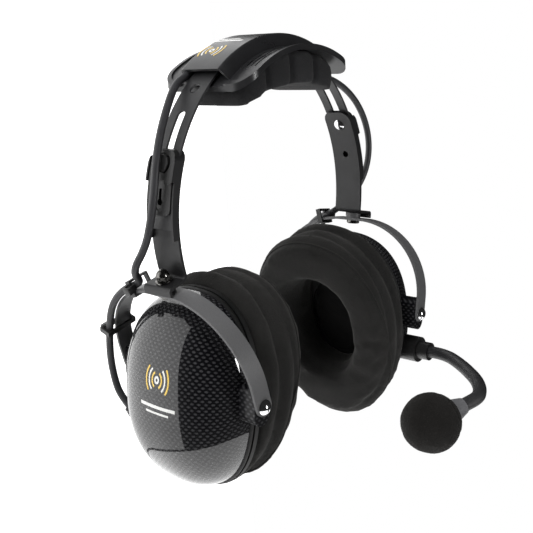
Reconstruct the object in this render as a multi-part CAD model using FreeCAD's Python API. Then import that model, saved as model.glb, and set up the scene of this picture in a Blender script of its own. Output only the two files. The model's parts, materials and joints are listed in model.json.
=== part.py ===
# Noise-isolating headset: sprung headband, two height sliders, two stirrups, two ear cups and a microphone boom.
# Millimetres. +X is the wearer's left, -Y the wearer's front, +Z up.
# Heights are set out from the hanger tabs. The finished parts are then moved down by tab_drop, so that the
# origin is the middle of the head pad's underside, where the headset rests on the crown.
import FreeCAD, Part
import math
import os

os.makedirs("parts", exist_ok=True)
V = FreeCAD.Vector

# Frame
tab_drop = 88.5          # hanger tabs below the crown rest
running_fit = 0.07       # radial clearance of a turning pin
gap = 0.3                # clearance between pieces that pass each other

# Headband strip
band_width = 15.8
band_thick = 1.2
crown_radius = 75.2      # middle of the strip over the crown
crown_centre_z = 32.0
crown_half = 46.0        # x where the crown arc meets the side arc
side_radius = 91.9       # middle of the strip down the side
side_centre_x = -10.25   # for the +X side
side_centre_z = 18.83
band_end_angle = 3.0     # above the horizontal through the side centre
slot_width = 5.0
slot_top_angle = 40.6
slot_bottom_angle = 8.0
d_hole_angle = 49.1

# Head pad and cover
cover_radius = 79.9      # outside of the raised channel
cover_half = 45.5
channel_top = 13.0
channel_base = 16.5
cover_wall = 1.3
wing_radius = 73.0
wing_thick = 2.0
wing_half_x = 45.5
wing_half_y = 30.5
wing_corner = 11.0
pad_half_x = 37.0
pad_half_y = 24.0
pad_under_radius = 108.5
pad_crease = 1.6

# Hanger
lean = 11.8              # lean of the hanger's lower end and of the stirrup
hanger_half = 9.2
hanger_thick = 1.5
hanger_top_angle = 28.5
flange_thick = 1.0
flange_top_depth = 5.0
flange_low_depth = 3.0
swivel_radius = 97.0     # swivel axis from the side centre, in the leaning frame
tab_end = 101.3
tab_bend = 1.5
lip_drop = 2.4
clamp_angle = 22.8
keyhole_angle = 10.2
clamp_plate_thick = 2.5
clamp_plate_half = 15.4
clamp_plate_z = 46.6
clamp_nut_radius = 4.6
clamp_screw_radius = 2.0

# Stirrup
spacer_thick = 3.4
stirrup_width = 10.0
stirrup_thick = 1.5
stirrup_half = 52.5
stirrup_corner = 45.0
pivot_drop = 61.2
stirrup_turn = 4.0       # the stirrups rest turned a little, fronts outward
bolt_radius = 2.0
pivot_radius = 2.5

# Cup
cup_tilt = -6.5          # lean of the cup at rest: top towards the head
cup_half_y = 41.0
cup_half_z = 52.5
cup_depth = 34.0
cup_wall = 2.5
cup_centre_z = -3.6      # cup centre below the pivot
rim_x = -5.0             # rim plane inboard of the pivot
rim_width = 3.0          # raised bead round the rim
rim_step = 1.2
outline_power = 2.4
dome_power = 2.3
plate_thick = 2.6
seal_half_y = 46.0
seal_half_z = 59.5
seal_sides = {"left": (62.5, -1.0), "right": (57.0, 2.5)}   # half height and lift, as each cover has settled
seal_power = 2.15         # rounder than the cup's outline
seal_lift = 1.5          # seal centre above the cup's centre
seal_egg = 0.07          # share by which the seal is wider at its top and narrower at its bottom
seal_thick = 32.0        # at mid height
seal_wedge = 0.2         # share by which the seal is thicker at its top and thinner at its bottom
ear_half_y = 20.0
ear_half_z = 30.0
ear_roll = 6.0           # the ear opening widens by this at its mouth

lug_half = 5.2
lug_top = 9.0
lug_drop = 10.5

# Cable
cable_radius = 2.0

# Microphone boom
boom_radius = 3.65
boom_root = V(80.0, -50.0, -87.6)
windscreen_radius = 16.0
holder_start = 21.0      # from the windscreen's centre back to the holder's small end
holder_end = 13.5
windscreen_centre = V(-6.6, -104.5, -86.2)
mic_direction = V(-0.88, 0.42, -0.20)


def save(name, shape):
    placed = shape.copy()
    placed.translate(V(0, 0, -tab_drop))
    placed.exportStep("parts/" + name + ".step")


def box(x0, x1, y0, y1, z0, z1):
    return Part.makeBox(x1 - x0, y1 - y0, z1 - z0, V(x0, y0, z0))


def rod(radius, start, end):
    axis = end - start
    return Part.makeCylinder(radius, axis.Length, start, axis)


def cone(radius_a, radius_b, start, end):
    axis = end - start
    return Part.makeCone(radius_a, radius_b, axis.Length, start, axis)


def arc_sheet(centre_x, centre_z, r_in, r_out, angle_a, angle_b, y0, y1):
    # Part of a ring about the Y axis. Angles are in degrees from +X towards +Z.
    def at(radius, angle):
        a = math.radians(angle)
        return V(centre_x + radius * math.cos(a), y0, centre_z + radius * math.sin(a))
    middle = (angle_a + angle_b) / 2
    outer = Part.Arc(at(r_out, angle_a), at(r_out, middle), at(r_out, angle_b)).toShape()
    inner = Part.Arc(at(r_in, angle_b), at(r_in, middle), at(r_in, angle_a)).toShape()
    end_b = Part.LineSegment(at(r_out, angle_b), at(r_in, angle_b)).toShape()
    end_a = Part.LineSegment(at(r_in, angle_a), at(r_out, angle_a)).toShape()
    face = Part.Face(Part.Wire([outer, end_b, inner, end_a]))
    return face.extrude(V(0, y1 - y0, 0))


def rounded_prism(half_a, half_b, corner, low, high, along):
    # A rounded rectangle about the origin, extruded from low to high along X, Y or Z.
    solid = box(-half_a, half_a, -half_b, half_b, low, high)
    edges = [e for e in solid.Edges if abs(e.Vertexes[0].Z - e.Vertexes[-1].Z) > 1e-6]
    solid = solid.makeFillet(corner, edges)
    if along == "X":
        solid.rotate(V(0, 0, 0), V(1, 1, 1), 120)
    if along == "Y":
        solid.rotate(V(0, 0, 0), V(1, 1, 1), -120)
    return solid


def mirrored(shape):
    return shape.mirror(V(0, 0, 0), V(1, 0, 0))


def side_point(radius, angle, y=0.0):
    a = math.radians(angle)
    return V(side_centre_x + radius * math.cos(a), y, side_centre_z + radius * math.sin(a))


# The leaning frame has its origin at the side arc's centre, X along the tab and Z up the swivel axis.
def lean_frame(shape):
    placed = shape.copy()
    placed.rotate(V(0, 0, 0), V(0, 1, 0), lean)
    placed.translate(V(side_centre_x, 0, side_centre_z))
    return placed


# The stirrup frame is the leaning frame, turned about the swivel axis.
def stirrup_frame(shape):
    placed = shape.copy()
    placed.rotate(V(swivel_radius, 0, 0), V(0, 0, 1), stirrup_turn)
    return lean_frame(placed)


# The cup frame has its origin on the pivot axis, Y along it and X outward from the head.
def cup_frame(shape):
    placed = shape.copy()
    placed.rotate(V(0, 0, 0), V(0, 1, 0), cup_tilt - lean)
    placed.translate(V(swivel_radius, 0, -pivot_drop))
    return stirrup_frame(placed)


def make_headband_spring():
    y0 = -band_width / 2
    y1 = band_width / 2
    half = band_thick / 2
    meet = math.degrees(math.acos(crown_half / crown_radius))
    crown = arc_sheet(0, crown_centre_z, crown_radius - half, crown_radius + half, meet, 180 - meet, y0, y1)
    side = arc_sheet(side_centre_x, side_centre_z, side_radius - half, side_radius + half,
                     band_end_angle, meet, y0, y1)
    d_hole = rod(3.0, side_point(side_radius - 3, d_hole_angle), side_point(side_radius + 3, d_hole_angle))
    slot_reach = slot_width / 2
    slot = arc_sheet(side_centre_x, side_centre_z, side_radius - 3, side_radius + 3,
                     slot_bottom_angle, slot_top_angle - 1.5, -slot_reach, slot_reach)
    slot_end = rod(slot_reach, side_point(side_radius - 3, slot_top_angle - 1.5),
                   side_point(side_radius + 3, slot_top_angle - 1.5))
    side = side.cut(d_hole).cut(slot).cut(slot_end)
    return crown.fuse(side).fuse(mirrored(side)).removeSplitter()


def cover_section(half_top, half_base, r_top, r_base):
    # Channel section at the crown, turned about the crown centre to sweep it.
    points = [V(0, -half_base, r_base), V(0, -half_top, r_top), V(0, half_top, r_top), V(0, half_base, r_base)]
    edges = [Part.LineSegment(points[i], points[(i + 1) % 4]).toShape() for i in range(4)]
    return Part.Face(Part.Wire(edges))


def crown_sweep(face, half_angle):
    start = face.copy()
    start.rotate(V(0, 0, 0), V(0, 1, 0), -half_angle)
    solid = start.revolve(V(0, 0, 0), V(0, 1, 0), 2 * half_angle)
    solid.translate(V(0, 0, crown_centre_z))
    return solid


def make_pad_cover():
    reach = math.degrees(math.asin(cover_half / cover_radius))
    outer = crown_sweep(cover_section(channel_top, channel_base, cover_radius, wing_radius - 0.5), reach)
    tops = [e for e in outer.Edges if e.Length > 60 and e.BoundBox.ZMax > crown_centre_z + cover_radius - 0.2]
    outer = outer.makeFillet(1.6, tops)
    inner_face = cover_section(channel_top - 1.0, channel_base - 1.5, cover_radius - cover_wall, wing_radius)
    inner = crown_sweep(inner_face, reach + 5)
    sweep = 45
    wing = arc_sheet(0, crown_centre_z, wing_radius - wing_thick, wing_radius, 90 - sweep, 90 + sweep,
                     -wing_half_y, wing_half_y)
    outline = rounded_prism(wing_half_x, wing_half_y, wing_corner, 60, 140, "Z")
    wing = wing.common(outline)
    for side in (-1, 1):
        for place in (19.6, 22.2, 24.8):
            groove = arc_sheet(0, crown_centre_z, wing_radius - 0.5, wing_radius + 1, 64, 116,
                               side * place - 0.45, side * place + 0.45)
            wing = wing.cut(groove)
    rim_outer = outline
    rim_inner = rounded_prism(wing_half_x - 2.2, wing_half_y - 2.2, wing_corner - 2, 60, 140, "Z")
    rim = arc_sheet(0, crown_centre_z, wing_radius - 0.2, wing_radius + 0.9, 45, 135, -wing_half_y, wing_half_y)
    rim = rim.common(rim_outer).cut(rim_inner)
    return wing.fuse(rim).fuse(outer).cut(inner).removeSplitter()


def make_head_pad():
    top_radius = wing_radius - wing_thick
    block = box(-pad_half_x, pad_half_x, -pad_half_y, pad_half_y, 70, 120)
    uprights = [e for e in block.Edges if abs(e.Vertexes[0].Z - e.Vertexes[-1].Z) > 1]
    block = block.makeFillet(7, uprights)
    under = rod(pad_under_radius, V(0, -60, tab_drop - pad_under_radius), V(0, 60, tab_drop - pad_under_radius))
    roof = rod(top_radius - 0.02, V(0, -60, crown_centre_z), V(0, 60, crown_centre_z))
    pad = block.common(roof).cut(under)
    for place in (-18.5, 0, 18.5):
        for side in (-1, 1):
            pad = pad.cut(rod(pad_crease, V(place, side * pad_half_y, 60), V(place, side * pad_half_y, 130)))
    return pad


def make_hanger():
    r_in = side_radius - band_thick / 2 - gap - hanger_thick
    r_out = r_in + hanger_thick
    web = arc_sheet(side_centre_x, side_centre_z, r_in, r_out, -lean, hanger_top_angle, -hanger_half, hanger_half)
    strip = web
    for side in (-1, 1):
        y0 = side * hanger_half if side < 0 else hanger_half - flange_thick
        upper = arc_sheet(side_centre_x, side_centre_z, r_in, r_out + flange_top_depth, 17.5, hanger_top_angle,
                          y0, y0 + flange_thick)
        lower = arc_sheet(side_centre_x, side_centre_z, r_in, r_out + flange_low_depth, 0.0, 17.5,
                          y0, y0 + flange_thick)
        strip = strip.fuse(upper).fuse(lower)
    top_z = side_point(r_in, hanger_top_angle).z
    outline = rounded_prism(hanger_half, 45, 5.5, 40, 120, "X")
    outline.translate(V(0, 0, top_z - 45))
    strip = strip.common(outline)
    bend_x = r_out + tab_bend
    bend_outer = arc_sheet(bend_x, 0, tab_bend, tab_bend + hanger_thick, 180, 270, -hanger_half, hanger_half)
    low = -tab_bend
    tab = box(bend_x, tab_end, -hanger_half, hanger_half, low - hanger_thick, low)
    lip_bend = arc_sheet(tab_end, low - hanger_thick - 0.6, 0.6, 0.6 + hanger_thick, 0, 90, -hanger_half, hanger_half)
    lip_top = low - hanger_thick - 0.6
    lip = box(tab_end + 0.6, tab_end + 0.6 + hanger_thick, -hanger_half, hanger_half, lip_top - lip_drop, lip_top)
    foot = bend_outer.fuse(tab).fuse(lip_bend).fuse(lip)
    bolt_hole = rod(bolt_radius + running_fit, V(swivel_radius, 0, -10), V(swivel_radius, 0, 5))
    foot = lean_frame(foot.cut(bolt_hole))
    strip = strip.fuse(foot).removeSplitter()
    screw_hole = rod(clamp_screw_radius, side_point(r_in - 2, clamp_angle), side_point(r_out + 2, clamp_angle))
    keyhole = rod(2.0, side_point(r_in - 2, keyhole_angle), side_point(r_out + 1, keyhole_angle))
    return strip.cut(screw_hole).cut(keyhole)


def make_clamp_plate():
    # A thick square head round the nut, and a thinner tongue below it with a keyhole.
    r_in = side_radius + band_thick / 2 + gap
    half = hanger_half - flange_thick - 0.4
    plate = arc_sheet(side_centre_x, side_centre_z, r_in, r_in + clamp_plate_thick, 5.0, 30.0, -half, half)
    outline = rounded_prism(half, clamp_plate_half, 3.6, 40, 120, "X")
    outline.translate(V(0, 0, clamp_plate_z))
    step = arc_sheet(side_centre_x, side_centre_z, r_in + 1.8, r_in + 5, 0.0, 16.8, -half - 1, half + 1)
    pocket = arc_sheet(side_centre_x, side_centre_z, r_in + 1.1, r_in + 5, 11.0, 18.0, -3.4, 3.4)
    pocket_end = rod(3.4, side_point(r_in + 1.1, 11.0), side_point(r_in + 5, 11.0))
    slot = arc_sheet(side_centre_x, side_centre_z, r_in - 1, r_in + 5, 11.5, 15.5, -0.9, 0.9)
    slot_end = rod(1.7, side_point(r_in - 1, 11.5), side_point(r_in + 5, 11.5))
    seat = rod(clamp_nut_radius + 0.9, side_point(r_in + 1.0, clamp_angle), side_point(r_in + 6, clamp_angle))
    hole = rod(clamp_screw_radius, side_point(r_in - 2, clamp_angle), side_point(r_in + 5, clamp_angle))
    plate = plate.common(outline)
    for tool in (step, pocket, pocket_end, slot, slot_end, seat, hole):
        plate = plate.cut(tool)
    return plate


def make_clamp_screw():
    r_in = side_radius - band_thick / 2 - gap - hanger_thick
    shank = rod(clamp_screw_radius, side_point(r_in - 0.5, clamp_angle), side_point(side_radius + 3.4, clamp_angle))
    ball = Part.makeSphere(4.2, side_point(r_in + 2.2, clamp_angle))
    head = ball.common(rod(5, side_point(r_in - 5, clamp_angle), side_point(r_in - 0.1, clamp_angle)))
    return shank.fuse(head).removeSplitter()


def make_clamp_knob():
    # A low round nut, sunk in the plate's head.
    r_in = side_radius + band_thick / 2 + gap + 1.0
    base = side_point(r_in, clamp_angle)
    top = side_point(r_in + 2.4, clamp_angle)
    nut = rod(clamp_nut_radius, base, top)
    rims = [e for e in nut.Edges if e.Closed and e.BoundBox.XMax > top.x]
    nut = nut.makeFillet(0.6, rims)
    bore = rod(clamp_screw_radius, base, side_point(side_radius + 3.4, clamp_angle))
    return nut.cut(bore)


def make_stirrup():
    top = -tab_bend - hanger_thick - spacer_thick
    centre_y = stirrup_half - stirrup_corner
    centre_z = top - stirrup_corner
    x0 = swivel_radius - stirrup_width / 2

    def outline(inset):
        radius = stirrup_corner - inset
        half = stirrup_half - inset
        high = top - inset
        slant = radius * math.sqrt(0.5)
        foot = -pivot_drop
        parts = [
            Part.LineSegment(V(x0, -half, foot), V(x0, -half, centre_z)),
            Part.Arc(V(x0, -half, centre_z), V(x0, -centre_y - slant, centre_z + slant), V(x0, -centre_y, high)),
            Part.LineSegment(V(x0, -centre_y, high), V(x0, centre_y, high)),
            Part.Arc(V(x0, centre_y, high), V(x0, centre_y + slant, centre_z + slant), V(x0, half, centre_z)),
            Part.LineSegment(V(x0, half, centre_z), V(x0, half, foot)),
            Part.LineSegment(V(x0, half, foot), V(x0, -half, foot))]
        return Part.Face(Part.Wire([p.toShape() for p in parts]))

    strip = outline(0).cut(outline(stirrup_thick)).extrude(V(stirrup_width, 0, 0))
    for side in (-1, 1):
        inner = side * (stirrup_half - stirrup_thick)
        outer = side * stirrup_half
        eye = rod(stirrup_width / 2, V(swivel_radius, inner, -pivot_drop), V(swivel_radius, outer, -pivot_drop))
        bore = rod(pivot_radius + running_fit, V(swivel_radius, inner - side, -pivot_drop),
                   V(swivel_radius, outer + side, -pivot_drop))
        strip = strip.fuse(eye).cut(bore)
    spacer = rod(4.5, V(swivel_radius, 0, top), V(swivel_radius, 0, -tab_bend - hanger_thick - gap))
    strip = strip.fuse(spacer)
    bolt_hole = rod(bolt_radius, V(swivel_radius, 0, top - 5), V(swivel_radius, 0, 5))
    return strip.cut(bolt_hole).removeSplitter()


def hexagon(across, low, high):
    radius = across / math.sqrt(3)
    points = [V(swivel_radius + radius * math.cos(math.radians(60 * i)),
                radius * math.sin(math.radians(60 * i)), low) for i in range(7)]
    return Part.Face(Part.makePolygon(points)).extrude(V(0, 0, high - low))


def make_swivel_bolt():
    under = -tab_bend - hanger_thick - spacer_thick - stirrup_thick
    shank = rod(bolt_radius, V(swivel_radius, 0, under), V(swivel_radius, 0, 1.6))
    head = rod(4.0, V(swivel_radius, 0, under - 2.2), V(swivel_radius, 0, under))
    rims = [e for e in head.Edges if e.Closed and e.BoundBox.ZMax < under - 2]
    return head.makeFillet(0.9, rims).fuse(shank).removeSplitter()


def make_swivel_nut():
    base = -tab_bend + gap
    washer = rod(4.4, V(swivel_radius, 0, base), V(swivel_radius, 0, base + 0.8))
    body = hexagon(7.0, base + 0.8, base + 3.4)
    dome = Part.makeSphere(3.4, V(swivel_radius, 0, base + 3.2))
    dome = dome.common(box(80, 110, -6, 6, base + 3.2, base + 9))
    bore = rod(bolt_radius, V(swivel_radius, 0, base - 1), V(swivel_radius, 0, 1.6))
    return washer.fuse(body).fuse(dome).removeSplitter().cut(bore)


def oval(x, half_y, half_z, wedge=0.0, egg=0.0, lift=0.0, power=outline_power):
    # Rounded oval (a superellipse) about the cup's centre, as a closed smooth curve. A wedge tips its plane,
    # egg widens its top and narrows its bottom, and lift raises it.
    points = []
    count = 32
    for i in range(count):
        a = 2 * math.pi * i / count
        c = math.cos(a)
        s = math.sin(a)
        y = half_y * math.copysign(abs(c) ** (2 / power), c)
        z = half_z * math.copysign(abs(s) ** (2 / power), s)
        widen = 1 + egg * z / half_z
        points.append(V(x - wedge * z / seal_half_z, y * widen, z + cup_centre_z + lift))
    curve = Part.BSplineCurve()
    curve.interpolate(points, PeriodicFlag=True)
    return Part.Wire(curve.toShape())


def oval_prism(x0, x1, half_y, half_z):
    return Part.Face(oval(x0, half_y, half_z)).extrude(V(x1 - x0, 0, 0))


def dome(half_y, half_z, depth):
    sections = []
    for reach in (0.0, 0.22, 0.42, 0.6, 0.74, 0.85, 0.93, 0.98, 0.997):
        shrink = (1 - reach ** dome_power) ** (1 / dome_power)
        sections.append(oval(rim_x + depth * reach, half_y * shrink, half_z * shrink))
    return Part.makeLoft(sections, True, False)


def cup_outer():
    return dome(cup_half_y, cup_half_z, cup_depth)


def cup_envelope():
    # The closed outside of the cup, with its rim bead and seal plate.
    return cup_outer().fuse(oval_prism(rim_x - plate_thick, rim_x + rim_width, cup_half_y + rim_step,
                                       cup_half_z + rim_step))


def make_cup_shell():
    inner = dome(cup_half_y - cup_wall, cup_half_z - cup_wall, cup_depth - cup_wall)
    bead = oval_prism(rim_x, rim_x + rim_width, cup_half_y + rim_step, cup_half_z + rim_step)
    bead = bead.cut(oval_prism(rim_x - 1, rim_x + rim_width + 1, cup_half_y - cup_wall, cup_half_z - cup_wall))
    return cup_outer().cut(inner).fuse(bead).removeSplitter()


def make_seal_plate():
    plate = oval_prism(rim_x - plate_thick, rim_x, cup_half_y + rim_step, cup_half_z + rim_step)
    return plate.cut(rod(22, V(rim_x - 10, 0, cup_centre_z), V(rim_x + 10, 0, cup_centre_z)))


def make_ear_seal(side):
    back = rim_x - plate_thick
    tall, lift = seal_sides[side]

    def outer(inset, half_y, half_z):
        return oval(back - inset, half_y, half_z, inset * seal_wedge, seal_egg, lift, seal_power)

    def section(inset, half_y, half_z):
        return oval(back - inset, half_y, half_z, inset * seal_wedge, seal_egg, seal_lift)

    rings = []
    for inset, trim in ((0.0, 3.5), (3.0, 0.6), (8.0, 0.0), (13.0, 1.6), (18.0, 0.0), (25.0, 1.2),
                        (29.5, 4.5), (seal_thick, 10.0)):
        rings.append(outer(inset, seal_half_y - trim, tall - trim))
    body = Part.makeLoft(rings, True, False)
    throat_end = seal_thick - 12
    throat = Part.makeLoft([section(-1, ear_half_y, ear_half_z), section(throat_end, ear_half_y, ear_half_z)],
                           True, True)
    mouth = Part.makeLoft([section(throat_end, ear_half_y, ear_half_z),
                           section(seal_thick + 2, ear_half_y + ear_roll, ear_half_z + ear_roll)], True, True)
    return body.cut(throat).cut(mouth)


def make_ear_foam():
    back = rim_x - plate_thick
    return oval_prism(back - 2.5, back, ear_half_y - 2.0, ear_half_z - 2.5)


def make_speaker():
    basket = rod(26, V(rim_x, 0, cup_centre_z), V(rim_x + 1.6, 0, cup_centre_z))
    drum = cone(20, 12, V(rim_x + 1.6, 0, cup_centre_z), V(rim_x + 7, 0, cup_centre_z))
    magnet = rod(12, V(rim_x + 7, 0, cup_centre_z), V(rim_x + 12, 0, cup_centre_z))
    return basket.fuse(drum).fuse(magnet).removeSplitter()


def make_speaker_ring():
    ring = rod(29, V(rim_x, 0, cup_centre_z), V(rim_x + 4, 0, cup_centre_z))
    well = rod(26, V(rim_x - 1, 0, cup_centre_z), V(rim_x + 1.6, 0, cup_centre_z))
    mouth = rod(22, V(rim_x, 0, cup_centre_z), V(rim_x + 9, 0, cup_centre_z))
    return ring.cut(well).cut(mouth)


def make_foam_liner():
    return dome(cup_half_y - 9, cup_half_z - 10, cup_depth - 6).common(box(9, 60, -60, 60, -90, 90))


def make_pivot_lug(side):
    outer_y = side * (stirrup_half - stirrup_thick - gap)
    inner_y = side * (cup_half_y - 6)
    low, high = sorted((inner_y, outer_y))
    block = box(-lug_half, lug_half, low, high, lug_half - lug_drop, lug_top)
    chin = rod(lug_half, V(0, low, lug_half - lug_drop), V(0, high, lug_half - lug_drop))
    lug = block.fuse(chin).removeSplitter()
    tops = [e for e in lug.Edges if e.BoundBox.ZMin > lug_top - 0.1 and e.BoundBox.YLength > 5]
    lug = lug.makeFillet(2.0, tops)
    bore = rod(pivot_radius, V(0, outer_y - side * 7, 0), V(0, outer_y + side, 0))
    return lug.cut(cup_envelope()).cut(bore)


def make_pivot_screw(side):
    tip = side * (stirrup_half - stirrup_thick - gap - 7)
    seat = side * (stirrup_half + gap)
    shank = rod(pivot_radius, V(0, tip, 0), V(0, seat, 0))
    ball = Part.makeSphere(4.6, V(0, seat - side * 2.2, 0))
    head = ball.common(rod(6, V(0, seat, 0), V(0, seat + side * 6, 0)))
    crown_y = seat + side * 2.4
    y0, y1 = sorted((crown_y - side * 1.3, crown_y + side))
    cross = box(-2.2, 2.2, y0, y1, -0.45, 0.45).fuse(box(-0.45, 0.45, y0, y1, -2.2, 2.2))
    return shank.fuse(head).removeSplitter().cut(cross)


# Overhead cable. The points of its run along a stirrup are in the stirrup frame, from the upper tie to the inlet.
stirrup_run = [
    V(98.2, 17.5, -4.9), V(101.8, 29.5, -8.6), V(105.4, 40.5, -18.4), V(106.4, 49.4, -36.0),
    V(108.9, 53.2, -53.0), V(110.8, 53.0, -67.0), V(112.4, 49.6, -76.0), V(112.6, 43.5, -81.5)]
right_drop = [
    V(-89.0, 13.5, 4.0), V(-87.2, 7.5, 15.0), V(-87.4, 2.5, 27.0), V(-85.4, -0.5, 42.0), V(-81.2, 0.5, 56.5),
    V(-74.0, 3.0, 70.0), V(-63.0, 5.5, 85.0), V(-53.0, 10.0, 91.6)]
left_drop = [
    V(62.0, 8.8, 85.4), V(79.5, 5.4, 79.4), V(96.0, 3.8, 67.4), V(106.8, 3.2, 51.6), V(110.6, 3.2, 34.6),
    V(106.4, 4.0, 18.6), V(97.4, 7.6, 5.6), V(89.0, 14.2, -2.6)]


def stirrup_point(point):
    return stirrup_frame(Part.Vertex(point)).Point


def flip(point):
    return V(-point.x, point.y, point.z)


def crown_route():
    radius = crown_radius + 1.9
    points = []
    for angle in (-37, -18.5, 0, 18.5, 37):
        a = math.radians(angle)
        points.append(V(radius * math.sin(a), 10.8, crown_centre_z + radius * math.cos(a)))
    return points


def rounded_route(points):
    # Straight runs joined by tangent arcs, as a list of edges: run, arc, run, arc and so on.
    cuts = []
    for before, corner, after in zip(points, points[1:], points[2:]):
        back = before - corner
        ahead = after - corner
        turn = math.pi - back.getAngle(ahead)
        reach = 0.45 * min(back.Length, ahead.Length)
        radius = reach / math.tan(turn / 2)
        back.normalize()
        ahead.normalize()
        bisector = back + ahead
        bisector.normalize()
        centre = corner + bisector * (radius / math.cos(turn / 2))
        cuts.append((corner + back * reach, centre - bisector * radius, corner + ahead * reach))
        print("bend radius", round(radius, 1))
    edges = []
    start = points[0]
    for arc_in, arc_mid, arc_out in cuts:
        edges.append(Part.LineSegment(start, arc_in).toShape())
        edges.append(Part.Arc(arc_in, arc_mid, arc_out).toShape())
        start = arc_out
    edges.append(Part.LineSegment(start, points[-1]).toShape())
    return edges


def tube(edges, radius):
    path = Part.Wire(edges)
    start = edges[0].valueAt(edges[0].FirstParameter)
    direction = edges[0].tangentAt(edges[0].FirstParameter)
    ring = Part.Wire(Part.makeCircle(radius, start, direction))
    solid = path.makePipeShell([ring], True, False)
    length = sum(e.Length for e in edges)
    expected = math.pi * radius ** 2 * length
    print("tube length", round(length, 1), "volume ratio", round(solid.Volume / expected, 4))
    return solid


def make_cable_inlet(side):
    end = stirrup_point(stirrup_run[-1])
    axis = end - stirrup_point(stirrup_run[-2])
    axis.normalize()
    body = cone(3.1, 5.0, end, end + axis * 14)
    for step in range(3):
        low = end + axis * (1.3 + 2.0 * step)
        ring = rod(6, low, low + axis * 0.8).cut(rod(2.7 + 0.25 * step, low, low + axis * 0.8))
        body = body.cut(ring)
    body = body.cut(cup_frame(cup_envelope()))
    return body if side > 0 else mirrored(body)


def ring_tie(x0, x1, y0, y1, z0, z1, along):
    # A flat strap, 1.2 mm thick and 3 mm wide, round a rectangular space; along is the way through it.
    wall = 1.2
    grow = V(wall, wall, wall)
    low = V(x0, y0, z0)
    high = V(x1, y1, z1)
    low_outer = low - grow
    high_outer = high + grow
    if along == "Y":
        low_outer.y, high_outer.y = y0, y1
        low.y, high.y = y0 - 1, y1 + 1
    else:
        low_outer.z, high_outer.z = z0, z1
        low.z, high.z = z0 - 1, z1 + 1
    outer = box(low_outer.x, high_outer.x, low_outer.y, high_outer.y, low_outer.z, high_outer.z)
    return outer.cut(box(low.x, high.x, low.y, high.y, low.z, high.z))


def make_upper_tie():
    reach = stirrup_width / 2 + 0.2
    ring = ring_tie(swivel_radius - reach, swivel_radius + reach, 20.0, 23.0, -10.6, -3.7, "Y")
    ring.rotate(V(0, 21.5, -8.6), V(1, 0, 0), -18)
    return stirrup_frame(ring)


def make_lower_tie():
    reach = stirrup_width / 2 + 0.2
    ring = ring_tie(swivel_radius - reach, 108.7, 46.9, 51.8, -37.5, -34.5, "Z")
    ring.rotate(V(0, 49.3, -36), V(1, 0, 0), 20)
    return stirrup_frame(ring)


def make_boom_socket():
    bore = rod(3.0 + running_fit, boom_root + V(0, 1.5, 0), boom_root + V(0, 13, 0))
    block = rod(8.0, boom_root + V(0, 1.5, 0), boom_root + V(0, 20, 0))
    return block.cut(cup_frame(cup_envelope())).cut(bore)


def make_lead_gland():
    start = V(79.4, -8.0, -107.0)
    end = V(80.5, -10.2, -127.0)
    body = cone(7.0, 5.2, start, end)
    bore = rod(3.3, start + (end - start) * 0.6, end + (end - start) * 0.1)
    return body.cut(cup_frame(cup_envelope())).cut(bore)


boom_route = [
    boom_root + V(0, -6, 0), V(80.0, -63.5, -87.6), V(76.4, -71.4, -86.8), V(69.4, -80.0, -85.6),
    V(59.6, -90.4, -84.0), V(48.4, -100.8, -82.2), V(40.0, -107.6, -80.9), V(31.0, -113.6, -80.2)]


def mic_axis():
    axis = V(mic_direction)
    axis.normalize()
    return axis


def make_boom_tube():
    axis = mic_axis()
    points = boom_route + [windscreen_centre - axis * 31, windscreen_centre - axis * holder_start]
    return tube(rounded_route(points), boom_radius)


def make_boom_collar():
    collar = rod(5.6, boom_root + V(0, 1.2, 0), boom_root + V(0, -6, 0))
    spigot = rod(3.0, boom_root + V(0, 1.2, 0), boom_root + V(0, 8.5, 0))
    return collar.fuse(spigot).removeSplitter()


def make_mic_holder():
    axis = mic_axis()
    return cone(4.3, 6.6, windscreen_centre - axis * holder_start, windscreen_centre - axis * holder_end)


def make_mic_capsule():
    axis = mic_axis()
    return rod(4.6, windscreen_centre - axis * holder_end, windscreen_centre - axis * 4.5)


def make_windscreen():
    axis = mic_axis()
    ball = Part.makeSphere(windscreen_radius, windscreen_centre)
    mouth = cone(4.4, 6.8, windscreen_centre - axis * holder_start, windscreen_centre - axis * 13.4)
    pocket = rod(4.7, windscreen_centre - axis * 14, windscreen_centre - axis * 4.4)
    return ball.cut(mouth).cut(pocket)


save("headband_spring", make_headband_spring())
save("pad_cover", make_pad_cover())
save("head_pad", make_head_pad())

side_parts = {
    "hanger": make_hanger(),
    "clamp_plate": make_clamp_plate(),
    "clamp_screw": make_clamp_screw(),
    "clamp_knob": make_clamp_knob(),
    "stirrup": stirrup_frame(make_stirrup()),
    "swivel_bolt": stirrup_frame(make_swivel_bolt()),
    "swivel_nut": stirrup_frame(make_swivel_nut()),
    "upper_tie": make_upper_tie(),
    "lower_tie": make_lower_tie(),
    "cup_shell": cup_frame(make_cup_shell()),
    "seal_plate": cup_frame(make_seal_plate()),
    "ear_foam": cup_frame(make_ear_foam()),
    "speaker": cup_frame(make_speaker()),
    "speaker_ring": cup_frame(make_speaker_ring()),
    "foam_liner": cup_frame(make_foam_liner()),
    "front_lug": cup_frame(make_pivot_lug(-1)),
    "rear_lug": cup_frame(make_pivot_lug(1)),
    "front_screw": cup_frame(make_pivot_screw(-1)),
    "rear_screw": cup_frame(make_pivot_screw(1)),
}
for name, shape in side_parts.items():
    save("left_" + name, shape)
    save("right_" + name, mirrored(shape))

save("left_ear_seal", cup_frame(make_ear_seal("left")))
save("right_ear_seal", mirrored(cup_frame(make_ear_seal("right"))))
save("left_cable_inlet", make_cable_inlet(1))
save("right_cable_inlet", make_cable_inlet(-1))
save("left_boom_socket", make_boom_socket())
save("left_lead_gland", make_lead_gland())

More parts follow.
